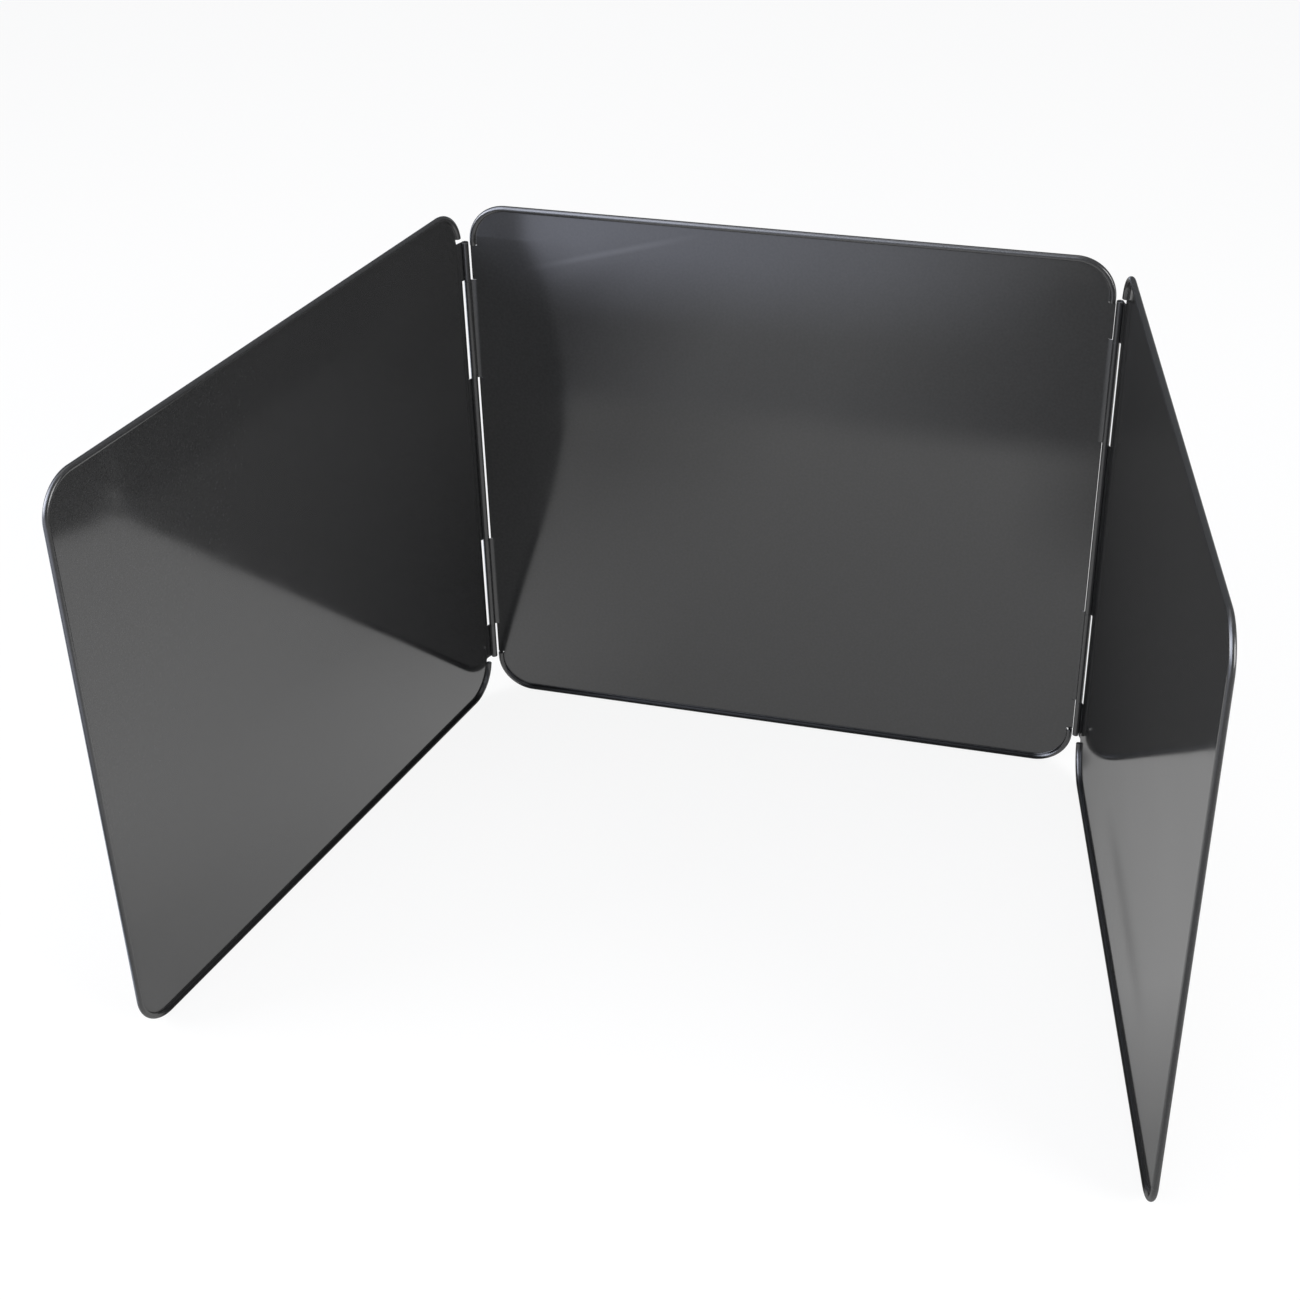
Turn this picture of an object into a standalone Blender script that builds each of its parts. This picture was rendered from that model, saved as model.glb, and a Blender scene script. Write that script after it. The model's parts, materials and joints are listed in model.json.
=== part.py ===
"""A folding splash guard: three coated sheet-steel panels that stand round a stove.

The centre panel carries a side panel on each edge. Each panel is one sheet. Its hinge edges are cut
into tabs that are joggled and rolled into knuckles, which take turns round a straight wire. Its other
edges are rolled into a hollow rim, centred on the sheet. One knuckle of each hinge is dented onto the
wire. Metres, +Z up. The origin is under the middle of the centre panel, on its sheet's mid plane. The
side panels come towards -Y, and that side of every panel is called its front here.
"""

import math

import bmesh
import bpy
from mathutils import Matrix, Vector

# Panels
PANEL_HEIGHT = 0.250
HINGE_SPACING = 0.281
SIDE_REACH = 0.2765
LEFT_SPLAY = math.radians(11.5)
RIGHT_SPLAY = math.radians(11.8)
SHEET = 0.0004
CORNER_RADIUS = 0.017
CORNER_STEPS = 9

# Rolled rim
RIM_DIAMETER = 0.0026
RIM_STEP = math.radians(30)
RIM_CORNERS = 11

# Hinge, with distances from its axis and heights from the foot of the panels
AXIS_OFFSET = 0.00185
PIN_DIAMETER = 0.0016
PIN_CLEARANCE = 0.0003
PIN_RECESS = 0.0006
PIN_STEPS = 24
PIN_EDGE = 0.00015
ROW_MARGIN = 0.0175
OUTER_KNUCKLE = 0.018
SECOND_KNUCKLE = 0.0475
KNUCKLE_GAP = 0.0003
KNUCKLE_STEP = math.radians(20)
KNUCKLE_CORNERS = 16
NECK_START = 0.0034
NECK_STEPS = 6
SLIT = 0.00025
RIM_CLEARANCE = 0.0003
RIM_ABOVE_ROW = 0.0024
RIM_BESIDE_ROW = 0.0016
RIM_END_CUT = 0.0004

# The dent that holds each wire
DENT_HEIGHT = 0.066
DENT_TURN = math.radians(40)
DENT_RADIUS = 0.0007
DENT_DEPTH = 0.00022
BULGE_RADIUS = 0.0005
BULGE_REACH = 0.0002
DENT_STEPS = 16

# Worked out from the sizes above
RIM_RADIUS = RIM_DIAMETER / 2
RIM_ROLL = RIM_RADIUS - SHEET / 2
RIM_DEPTH = RIM_RADIUS + RIM_ROLL
PIN_RADIUS = PIN_DIAMETER / 2
BORE_RADIUS = PIN_RADIUS + PIN_CLEARANCE
KNUCKLE_ROLL = BORE_RADIUS + SHEET / 2
KNUCKLE_RADIUS = BORE_RADIUS + SHEET
SHEET_EDGE = KNUCKLE_RADIUS + SLIT
RIM_EDGE = KNUCKLE_RADIUS + RIM_CLEARANCE
RIM_ROOT = RIM_EDGE + RIM_DEPTH
ROOT_RADIUS = CORNER_RADIUS - RIM_DEPTH
HALF_GAP = KNUCKLE_GAP / 2
ROW_TOP = PANEL_HEIGHT - ROW_MARGIN
FIRST_JOINT = ROW_TOP - OUTER_KNUCKLE
SECOND_JOINT = FIRST_JOINT - SECOND_KNUCKLE
HALF_SPACING = HINGE_SPACING / 2

SMOOTH_BELOW = math.radians(40)
FRONT = Vector((0.0, -1.0, 0.0))
COAT_COLOUR = (0.035, 0.036, 0.038)
COAT_ROUGHNESS = 0.35
STEEL_COLOUR = (0.46, 0.46, 0.45)
STEEL_ROUGHNESS = 0.3


def clear_scene():
    """Removes whatever the scene holds."""
    for obj in list(bpy.data.objects):
        bpy.data.objects.remove(obj, do_unlink=True)


def new_collection(name):
    """A collection of that name, linked to the scene."""
    collection = bpy.data.collections.new(name)
    bpy.context.scene.collection.children.link(collection)
    return collection


def finish_material(name, colour, roughness, metallic):
    """A plain Principled material."""
    material = bpy.data.materials.new(name)
    material.use_nodes = True
    shader = material.node_tree.nodes["Principled BSDF"]
    shader.inputs["Base Color"].default_value = (*colour, 1.0)
    shader.inputs["Roughness"].default_value = roughness
    shader.inputs["Metallic"].default_value = metallic
    return material


def object_from(name, shape, collection, place, material):
    """An object whose mesh is taken from the shape, with its origin at the place."""
    mesh = bpy.data.meshes.new(name)
    shape.to_mesh(mesh)
    shape.free()
    mesh.shade_smooth()
    mesh.set_sharp_from_angle(angle=SMOOTH_BELOW)
    obj = bpy.data.objects.new(name, mesh)
    collection.objects.link(obj)
    obj.location = place
    if material is not None:
        mesh.materials.append(material)
    return obj


def arc(centre, radius, start, end):
    """Points along an arc, both ends included, with angles in radians."""
    turn = (end - start) / CORNER_STEPS
    angles = [start + turn * i for i in range(CORNER_STEPS + 1)]
    return [(centre[0] + radius * math.cos(a), centre[1] + radius * math.sin(a)) for a in angles]


def roll(radius, step, corners):
    """The corners of a roll, as (along, across) from its centre.

    It starts at the middle of the flat that faces backward along the first direction, and the flats
    touch the circle of that radius from outside.
    """
    reach = radius / math.cos(step / 2)
    angles = [step * (i + 0.5) for i in range(corners)]
    return [(-radius, 0.0)] + [(-reach * math.cos(a), reach * math.sin(a)) for a in angles]


def rim_path():
    """How the rim leaves its root, as (out, front) from the root."""
    return [(out + RIM_ROLL, front) for out, front in roll(RIM_ROLL, RIM_STEP, RIM_CORNERS)]


def knuckle_path():
    """How a tab leaves the flat sheet, eases forward and rolls round the axis, as (out, front)."""
    rise = AXIS_OFFSET - KNUCKLE_ROLL
    path = []
    for i in range(NECK_STEPS):
        t = i / NECK_STEPS
        path.append((NECK_START * t, rise * t * t * (3 - 2 * t)))
    for front, out in roll(KNUCKLE_ROLL, KNUCKLE_STEP, KNUCKLE_CORNERS):
        path.append((NECK_START + out, AXIS_OFFSET + front))
    return path


def side_hinge_half():
    """The upper half of a side panel's hinge edge, as (from axis, height), below its rim's end.

    Its tabs are the first, third and fifth of the row.
    """
    return [
        (RIM_ROOT, ROW_TOP - HALF_GAP),
        (NECK_START, ROW_TOP - HALF_GAP),
        (NECK_START, FIRST_JOINT + HALF_GAP),
        (NECK_START, FIRST_JOINT - HALF_GAP),
        (SHEET_EDGE, FIRST_JOINT - HALF_GAP),
        (SHEET_EDGE, SECOND_JOINT + HALF_GAP),
        (NECK_START, SECOND_JOINT + HALF_GAP),
        (NECK_START, SECOND_JOINT - HALF_GAP),
    ]


def centre_hinge_half():
    """The upper half of the centre panel's hinge edge, as (from axis, height), below its rim's end.

    Its tabs are the second and fourth of the row.
    """
    start = ROW_TOP - RIM_BESIDE_ROW - RIM_END_CUT
    return [
        (RIM_ROOT, start),
        (SHEET_EDGE, start),
        (SHEET_EDGE, FIRST_JOINT + HALF_GAP),
        (NECK_START, FIRST_JOINT + HALF_GAP),
        (NECK_START, FIRST_JOINT - HALF_GAP),
        (NECK_START, SECOND_JOINT + HALF_GAP),
        (NECK_START, SECOND_JOINT - HALF_GAP),
        (SHEET_EDGE, SECOND_JOINT - HALF_GAP),
    ]


def with_lower_half(points):
    """The points followed by their mirror images in the panel's middle height, in walking order."""
    return points + [(x, PANEL_HEIGHT - z) for x, z in reversed(points)]


def side_rim_root():
    """Where a side panel's sheet meets its rim: from above the row, round the panel, to below the row."""
    near = RIM_EDGE + CORNER_RADIUS
    far = SIDE_REACH - CORNER_RADIUS
    high = PANEL_HEIGHT - CORNER_RADIUS
    rise = math.asin((ROW_TOP + RIM_ABOVE_ROW - high) / ROOT_RADIUS)
    upper = arc((near, high), ROOT_RADIUS, math.pi - rise, math.pi / 2)
    upper += arc((far, high), ROOT_RADIUS, math.pi / 2, 0.0)
    return with_lower_half(upper)


def centre_rim_root():
    """Where the centre panel's sheet meets its upper rim, from the left hinge to the right one."""
    edge = HALF_SPACING - RIM_ROOT
    end = ROW_TOP - RIM_BESIDE_ROW
    middle = edge - ROOT_RADIUS
    high = PANEL_HEIGHT - CORNER_RADIUS
    left = arc((-middle, high), ROOT_RADIUS, math.pi, math.pi / 2)
    right = arc((middle, high), ROOT_RADIUS, math.pi / 2, 0.0)
    return [(-edge, end)] + left + right + [(edge, end)]


def add_run(shape, points):
    """A chain of corners in the sheet's plane, joined one after the other."""
    corners = [shape.verts.new((x, 0.0, z)) for x, z in points]
    edges = [shape.edges.new(pair) for pair in zip(corners, corners[1:])]
    return corners, edges


def fill_outline(shape, runs):
    """Joins the runs end to end into one outline and fills it with the flat sheet."""
    for run, following in zip(runs, runs[1:] + runs[:1]):
        shape.edges.new((run[-1], following[0]))
    bmesh.ops.contextual_create(shape, geom=list(shape.edges))


def tab_edges(edges, offset):
    """The edges of a hinge run that lie along the necks' start and are longer than a knuckle gap."""
    found = []
    for edge in edges:
        along_neck = all(abs(abs(v.co.x - offset) - NECK_START) < HALF_GAP / 2 for v in edge.verts)
        if along_neck and edge.calc_length() > 2 * KNUCKLE_GAP:
            found.append(edge)
    return found


def outward(point, inner):
    """The direction in the sheet's plane that leads straight away from the rectangle inside the rim."""
    left, right, low, high = inner
    nearest_x = min(max(point.x, left), right)
    nearest_z = min(max(point.z, low), high)
    return Vector((point.x - nearest_x, 0.0, point.z - nearest_z)).normalized()


def inner_rectangle(left, right):
    """The rectangle through the centres of the four rounded corners, from the rim's outer edges."""
    high = PANEL_HEIGHT - CORNER_RADIUS
    return left + CORNER_RADIUS, right - CORNER_RADIUS, CORNER_RADIUS, high


def extrude_along(shape, edges, path, inner):
    """Extrudes edges step by step along a path of (out, front) points."""
    for before, after in zip(path, path[1:]):
        made = bmesh.ops.extrude_edge_only(shape, edges=edges)["geom"]
        corners = {item for item in made if isinstance(item, bmesh.types.BMVert)}
        edges = [
            item
            for item in made
            if isinstance(item, bmesh.types.BMEdge) and corners.issuperset(item.verts)
        ]
        out = after[0] - before[0]
        front = after[1] - before[1]
        for corner in corners:
            corner.co += outward(corner.co, inner) * out + FRONT * front


def thicken(obj):
    """Gives the sheet its thickness, half to each side."""
    shell = obj.modifiers.new("sheet_thickness", "SOLIDIFY")
    shell.thickness = SHEET
    shell.offset = 0.0
    shell.solidify_mode = "NON_MANIFOLD"
    shell.nonmanifold_thickness_mode = "CONSTRAINTS"


def side_panel(name, collection, mirror, turn, place, material):
    """A side panel whose hinge axis is its origin, turned from lying along X to its angle at rest."""
    shape = bmesh.new()
    rim, rim_edges = add_run(shape, side_rim_root())
    hinge, hinge_edges = add_run(shape, with_lower_half(side_hinge_half())[::-1])
    fill_outline(shape, [rim, hinge])
    inner = inner_rectangle(RIM_EDGE, SIDE_REACH)
    extrude_along(shape, rim_edges, rim_path(), inner)
    extrude_along(shape, tab_edges(hinge_edges, 0.0), knuckle_path(), inner)
    bmesh.ops.translate(shape, verts=shape.verts, vec=-FRONT * AXIS_OFFSET)
    if mirror:
        bmesh.ops.scale(shape, verts=shape.verts, vec=(-1.0, 1.0, 1.0))
    bmesh.ops.rotate(shape, verts=shape.verts, matrix=Matrix.Rotation(turn, 3, "Z"))
    bmesh.ops.recalc_face_normals(shape, faces=shape.faces)
    obj = object_from(name, shape, collection, place, material)
    thicken(obj)
    return obj


def centre_panel(name, collection, material):
    """The centre panel, with a hinge on each edge."""
    shape = bmesh.new()
    upper, upper_edges = add_run(shape, centre_rim_root())
    half = with_lower_half(centre_hinge_half())
    right, right_edges = add_run(shape, [(HALF_SPACING - x, z) for x, z in half])
    lower_points = [(x, PANEL_HEIGHT - z) for x, z in reversed(centre_rim_root())]
    lower, lower_edges = add_run(shape, lower_points)
    left, left_edges = add_run(shape, [(x - HALF_SPACING, z) for x, z in reversed(half)])
    fill_outline(shape, [upper, right, lower, left])
    inner = inner_rectangle(RIM_EDGE - HALF_SPACING, HALF_SPACING - RIM_EDGE)
    extrude_along(shape, upper_edges, rim_path(), inner)
    extrude_along(shape, lower_edges, rim_path(), inner)
    extrude_along(shape, tab_edges(right_edges, HALF_SPACING), knuckle_path(), inner)
    extrude_along(shape, tab_edges(left_edges, -HALF_SPACING), knuckle_path(), inner)
    bmesh.ops.recalc_face_normals(shape, faces=shape.faces)
    obj = object_from(name, shape, collection, (0.0, 0.0, 0.0), material)
    thicken(obj)
    return obj


def hinge_balls(name, collection, from_axis, radius):
    """One ball beside each hinge axis, at the dents' height and turned towards the middle."""
    shape = bmesh.new()
    for way in (-1, 1):
        x = way * (HALF_SPACING - from_axis * math.sin(DENT_TURN))
        y = -AXIS_OFFSET - from_axis * math.cos(DENT_TURN)
        place = Matrix.Translation((x, y, DENT_HEIGHT))
        bmesh.ops.create_uvsphere(
            shape,
            u_segments=DENT_STEPS,
            v_segments=DENT_STEPS // 2,
            radius=radius,
            matrix=place,
        )
    balls = object_from(name, shape, collection, (0.0, 0.0, 0.0), None)
    balls.hide_render = True
    balls.display_type = "WIRE"
    return balls


def combine(obj, name, operation, other):
    """Adds the other shape to the object, or takes it away."""
    step = obj.modifiers.new(name, "BOOLEAN")
    step.operation = operation
    step.solver = "EXACT"
    step.object = other


def press_dents(obj, helpers):
    """Dents one knuckle of each hinge: a small bulge towards the wire and a hollow outside."""
    inside = BORE_RADIUS - BULGE_REACH + BULGE_RADIUS
    outside = KNUCKLE_RADIUS + DENT_RADIUS - DENT_DEPTH
    bulges = hinge_balls("dent_bulges", helpers, inside, BULGE_RADIUS)
    hollows = hinge_balls("dent_hollows", helpers, outside, DENT_RADIUS)
    combine(obj, "add_bulges", "UNION", bulges)
    combine(obj, "cut_hollows", "DIFFERENCE", hollows)


def hinge_pin(name, collection, place, material):
    """A straight wire, a little shorter than the row of knuckles."""
    low = ROW_MARGIN + PIN_RECESS
    length = ROW_TOP - PIN_RECESS - low
    shape = bmesh.new()
    bmesh.ops.create_cone(
        shape,
        cap_ends=True,
        segments=PIN_STEPS,
        radius1=PIN_RADIUS,
        radius2=PIN_RADIUS,
        depth=length,
        matrix=Matrix.Translation((0.0, 0.0, low + length / 2)),
    )
    obj = object_from(name, shape, collection, place, material)
    edge = obj.modifiers.new("wire_end_edge", "BEVEL")
    edge.width = PIN_EDGE
    edge.segments = 2
    edge.limit_method = "ANGLE"
    edge.angle_limit = SMOOTH_BELOW
    return obj


def build():
    """Builds the whole guard at rest, standing open."""
    clear_scene()
    guard = new_collection("folding_splash_guard")
    helpers = new_collection("shaping_helpers")
    helpers.hide_render = True
    left_axis = Vector((-HALF_SPACING, -AXIS_OFFSET, 0.0))
    right_axis = Vector((HALF_SPACING, -AXIS_OFFSET, 0.0))
    right_turn = RIGHT_SPLAY - math.pi / 2
    left_turn = math.pi / 2 - LEFT_SPLAY
    coats = [
        finish_material(panel + "_coat", COAT_COLOUR, COAT_ROUGHNESS, 0.0)
        for panel in ("centre_panel", "left_panel", "right_panel")
    ]
    wires = [
        finish_material(pin + "_steel", STEEL_COLOUR, STEEL_ROUGHNESS, 1.0)
        for pin in ("left_hinge_pin", "right_hinge_pin")
    ]
    centre = centre_panel("centre_panel", guard, coats[0])
    press_dents(centre, helpers)
    side_panel("left_panel", guard, True, left_turn, left_axis, coats[1])
    side_panel("right_panel", guard, False, right_turn, right_axis, coats[2])
    hinge_pin("left_hinge_pin", guard, left_axis, wires[0])
    hinge_pin("right_hinge_pin", guard, right_axis, wires[1])


build()
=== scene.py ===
# %% [markdown]
# # A folding splash guard
#
# Three panels of thin coated steel stand in a U round a camping stove and keep the fat off the table.
# Each panel is one sheet. Its free edges are rolled into a hollow rim, and its hinge edges are cut into
# tabs that are rolled round a straight wire. This lesson dresses a ready frame of that guard: the frame
# says where every panel, wire and hinge axis is, and the cells below make the pieces that are seen.

import json
import math

import bmesh
import bpy
from mathutils import Matrix, Vector


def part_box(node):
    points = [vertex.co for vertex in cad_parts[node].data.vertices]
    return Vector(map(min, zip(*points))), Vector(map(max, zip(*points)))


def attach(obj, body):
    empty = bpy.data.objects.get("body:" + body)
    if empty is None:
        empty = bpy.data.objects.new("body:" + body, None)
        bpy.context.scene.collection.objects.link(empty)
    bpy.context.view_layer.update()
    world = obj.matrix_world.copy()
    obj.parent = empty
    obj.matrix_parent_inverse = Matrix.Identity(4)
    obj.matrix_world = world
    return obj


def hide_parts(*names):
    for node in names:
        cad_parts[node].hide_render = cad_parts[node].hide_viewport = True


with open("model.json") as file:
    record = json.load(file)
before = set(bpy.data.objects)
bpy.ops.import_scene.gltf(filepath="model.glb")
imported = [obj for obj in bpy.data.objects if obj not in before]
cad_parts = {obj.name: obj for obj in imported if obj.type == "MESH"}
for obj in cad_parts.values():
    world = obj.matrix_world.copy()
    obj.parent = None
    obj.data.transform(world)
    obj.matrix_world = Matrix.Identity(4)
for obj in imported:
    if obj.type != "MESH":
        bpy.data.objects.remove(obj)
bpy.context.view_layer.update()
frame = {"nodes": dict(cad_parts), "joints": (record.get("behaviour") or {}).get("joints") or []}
print("frame pieces:", ", ".join(sorted(frame["nodes"])))

# %% [markdown]
# ## The sizes
#
# A sheet-metal part is described by a few sizes: how thick the sheet is, how wide its rolled rim is, and
# how far the hinge axis stands off the sheet. The places of the hinge axes are read from the frame, so the
# visible pieces turn about exactly the same lines, and each side panel stands at its angle in the photo.
#
# The rim's bead isn't centred on the sheet: it stands RIM_FORWARD further to the inside of the guard. The
# gaps between the knuckles and the slits beside them are as narrow as a shear leaves them.

# %% Sizes in metres
SHEET = 0.0004
PANEL_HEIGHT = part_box("centre_panel")[1].z
SIDE_REACH = 0.2765
CORNER_RADIUS = 0.017
RIM_DIAMETER = 0.0026
PIN_DIAMETER = 0.0016
PIN_CLEARANCE = 0.0003
NECK_LENGTH = 0.0034
KNUCKLE_GAP = 0.00016
SLIT = 0.00025
RIM_CLEARANCE = 0.0003
RIM_FORWARD = 0.00045
ROW_MARGIN = 0.0175
OUTER_KNUCKLE = 0.018
SECOND_KNUCKLE = 0.0475
RIM_ABOVE_ROW = 0.0024
RIM_BESIDE_ROW = 0.0016
RIM_END_CUT = 0.0004
LEFT_SPLAY, RIGHT_SPLAY = math.radians(11.5), math.radians(11.8)

HINGES = {joint["name"]: Vector(joint["pos_m"]) for joint in frame["joints"]}
HALF_SPACING = HINGES["right_hinge"].x
AXIS_OFFSET = -HINGES["right_hinge"].y
print("panel height, mm:", round(1000 * PANEL_HEIGHT, 2))
print("hinge axes at +-, mm:", round(1000 * HALF_SPACING, 2))

# %% [markdown]
# The other sizes follow from these. The rim is a roll of the sheet, so the middle of its wall runs half a
# sheet inside its outer diameter. A knuckle is rolled round the wire with a little play.

# %% Sizes that follow
RIM_ROLL = (RIM_DIAMETER - SHEET) / 2
KNUCKLE_ROLL = PIN_DIAMETER / 2 + PIN_CLEARANCE + SHEET / 2
KNUCKLE_OUTSIDE = KNUCKLE_ROLL + SHEET / 2
SHEET_EDGE = KNUCKLE_OUTSIDE + SLIT
RIM_EDGE = KNUCKLE_OUTSIDE + RIM_CLEARANCE
ROW_TOP = PANEL_HEIGHT - ROW_MARGIN
FIRST_JOINT = ROW_TOP - OUTER_KNUCKLE
SECOND_JOINT = FIRST_JOINT - SECOND_KNUCKLE
HALF_GAP = KNUCKLE_GAP / 2
HIGH_CENTRE = PANEL_HEIGHT - CORNER_RADIUS

ROOT_RADIUS = 0.0004
ROOT_TURN = math.acos((ROOT_RADIUS - RIM_FORWARD) / (RIM_ROLL + ROOT_RADIUS))
ROOT_START = (RIM_ROLL + ROOT_RADIUS) * math.sin(ROOT_TURN)
RIM_TURN = math.radians(304)
FLAT_MARGIN = 0.0003
FLAT_INSET = RIM_DIAMETER / 2 + ROOT_START + FLAT_MARGIN
FLAT_CORNER = CORNER_RADIUS - FLAT_INSET

NECK_RISE = AXIS_OFFSET - KNUCKLE_ROLL
NECK_TURN = 2 * math.atan(NECK_RISE / NECK_LENGTH)
NECK_RADIUS = NECK_LENGTH / 2 / math.sin(NECK_TURN)
KNUCKLE_TURN = math.radians(310)
print("bend at the rim's root turns", round(math.degrees(ROOT_TURN), 1), "degrees")
print("neck of a knuckle turns", round(math.degrees(NECK_TURN), 1), "degrees and back")

# %% [markdown]
# ## One fold, as a node group
#
# Every bend on the guard is the same act: take the free edge of the sheet, push it outwards a little,
# turn, and push again. It could be modelled by hand with dozens of extrusions for each edge. Geometry
# Nodes do it once for all: a Repeat Zone extrudes the marked edges, moves them one short step along an
# arc, marks the new edges, and goes round again. A fold that turns by nothing is a straight flange.
#
# "Outwards" is the direction away from a rectangle inside the panel, through the centres of its rounded
# corners. It is straight along the sides and fans out round the corners, so one rule rolls the rim all
# the way round.

# %% Small helpers for node trees


def fill(tree, socket, value):
    """Links another node's output to a socket, or writes a plain value into it."""
    if isinstance(value, bpy.types.NodeSocket):
        tree.links.new(value, socket)
    else:
        socket.default_value = value


def value_of(tree, node_type, operation, values, output=0):
    """Adds a maths node, fills its inputs, and returns its output."""
    node = tree.nodes.new(node_type)
    node.operation = operation
    for label, value in values.items():
        fill(tree, node.inputs[label], value)
    return node.outputs[output]


def number(tree, operation, *values):
    """A step of arithmetic on numbers."""
    return value_of(tree, "ShaderNodeMath", operation, dict(enumerate(values)))


def vector(tree, operation, *values):
    """A step of arithmetic on vectors."""
    return value_of(tree, "ShaderNodeVectorMath", operation, dict(enumerate(values)))


def measured(tree, operation, *values):
    """A number taken from vectors, such as a length or a dot product."""
    return value_of(tree, "ShaderNodeVectorMath", operation, dict(enumerate(values)), "Value")


def scaled(tree, direction, length):
    """A vector times a number."""
    values = {"Vector": direction, "Scale": length}
    return value_of(tree, "ShaderNodeVectorMath", "SCALE", values)


def new_tree(name, inputs):
    """A Geometry Nodes tree with the inputs named, and a geometry output."""
    tree = bpy.data.node_groups.new(name, "GeometryNodeTree")
    for label, kind, value in inputs:
        made = tree.interface.new_socket(label, in_out="INPUT", socket_type="NodeSocket" + kind)
        if value is not None:
            made.default_value = value
    tree.interface.new_socket("Sheet", in_out="OUTPUT", socket_type="NodeSocketGeometry")
    return tree, tree.nodes.new("NodeGroupInput"), tree.nodes.new("NodeGroupOutput")


def store(tree, sheet, kind, domain, name, value, where=True):
    """Writes a named attribute on a sheet and returns the sheet."""
    node = tree.nodes.new("GeometryNodeStoreNamedAttribute")
    node.data_type, node.domain = kind, domain
    values = {"Geometry": sheet, "Name": name, "Value": value, "Selection": where}
    for label, given in values.items():
        fill(tree, node.inputs[label], given)
    return node.outputs["Geometry"]


# %% [markdown]
# One step of the fold is a chord of the arc. Its length is the arc's share for this step, shortened from
# the arc to the chord, and its heading is the arc's direction in the middle of the step. A very small
# least turn keeps the shortening defined for a straight flange.
#
# Each step also leaves a note on the faces it makes. The coat reads that note later, because a bend that
# was rolled shows its coat a little duller than the flat.

# %% One step of a fold
FOLD_INPUTS = [
    ("Sheet", "Geometry", None),
    ("Fold line", "String", ""),
    ("Low corner", "Vector", (0.0, -1.0, 0.0)),
    ("High corner", "Vector", (0.0, 1.0, 0.0)),
    ("Heading", "Float", 0.0),
    ("Turn", "Float", 0.0),
    ("Length", "Float", 0.0),
    ("Steps", "Int", 1),
]
ROLLED = "rolled"
LEAST_HALF_TURN = 0.0001


def arc_step(tree, given, steps_done):
    """How far one step of the arc goes outwards, and how far forwards."""
    turn_each = number(tree, "DIVIDE", given.outputs["Turn"], given.outputs["Steps"])
    half = number(tree, "MULTIPLY", number(tree, "ABSOLUTE", turn_each), 0.5)
    half = number(tree, "MAXIMUM", half, LEAST_HALF_TURN)
    shortened = number(tree, "DIVIDE", number(tree, "SINE", half), half)
    length_each = number(tree, "DIVIDE", given.outputs["Length"], given.outputs["Steps"])
    chord = number(tree, "MULTIPLY", shortened, length_each)
    middle = number(tree, "ADD", steps_done, 0.5)
    heading = number(tree, "MULTIPLY_ADD", turn_each, middle, given.outputs["Heading"])
    outwards = number(tree, "MULTIPLY", chord, number(tree, "COSINE", heading))
    return outwards, number(tree, "MULTIPLY", chord, number(tree, "SINE", heading))


def away_from_middle(tree, given):
    """The direction away from the rectangle through the centres of the rounded corners."""
    place = tree.nodes.new("GeometryNodeInputPosition").outputs[0]
    nearest = vector(tree, "MAXIMUM", place, given.outputs["Low corner"])
    nearest = vector(tree, "MINIMUM", nearest, given.outputs["High corner"])
    return vector(tree, "NORMALIZE", vector(tree, "SUBTRACT", place, nearest))


# %% The fold group


def fold_group():
    """Extrudes the edges marked by an attribute along an arc of a given length and turn."""
    tree, given, result = new_tree("fold_the_edge", FOLD_INPUTS)
    nodes, links = tree.nodes, tree.links
    again, done = nodes.new("GeometryNodeRepeatInput"), nodes.new("GeometryNodeRepeatOutput")
    again.pair_with_output(done)
    links.new(given.outputs["Steps"], again.inputs["Iterations"])
    links.new(given.outputs["Sheet"], again.inputs["Geometry"])

    marked = nodes.new("GeometryNodeInputNamedAttribute")
    marked.data_type = "BOOLEAN"
    links.new(given.outputs["Fold line"], marked.inputs["Name"])
    push = nodes.new("GeometryNodeExtrudeMesh")
    push.mode = "EDGES"
    push.inputs["Offset Scale"].default_value = 0.0
    links.new(again.outputs["Geometry"], push.inputs["Mesh"])
    links.new(marked.outputs["Attribute"], push.inputs["Selection"])

    outward_step, forward_step = arc_step(tree, given, again.outputs["Iteration"])
    forward = nodes.new("ShaderNodeCombineXYZ")
    links.new(number(tree, "MULTIPLY", forward_step, -1.0), forward.inputs["Y"])
    outward = scaled(tree, away_from_middle(tree, given), outward_step)
    move = nodes.new("GeometryNodeSetPosition")
    links.new(push.outputs["Mesh"], move.inputs["Geometry"])
    links.new(push.outputs["Top"], move.inputs["Selection"])
    links.new(vector(tree, "ADD", outward, forward.outputs[0]), move.inputs["Offset"])

    line, top, side = given.outputs["Fold line"], push.outputs["Top"], push.outputs["Side"]
    sheet = store(tree, move.outputs["Geometry"], "BOOLEAN", "EDGE", line, top)
    sheet = store(tree, sheet, "FLOAT", "FACE", ROLLED, 1.0, side)
    links.new(sheet, done.inputs["Geometry"])
    links.new(done.outputs["Geometry"], result.inputs["Sheet"])
    return tree


FOLD = fold_group()
print("fold group:", len(FOLD.nodes), "nodes")

# %% [markdown]
# ## The panel tree
#
# A press brake makes a panel in passes, and so does this tree. The rim takes three: a straight margin, a
# small bend that lifts the sheet towards the front, and a long roll that turns the other way and closes
# the bead behind the sheet. The tabs take three as well: a bend up, the same bend back, and the roll
# round the hinge wire.

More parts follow.
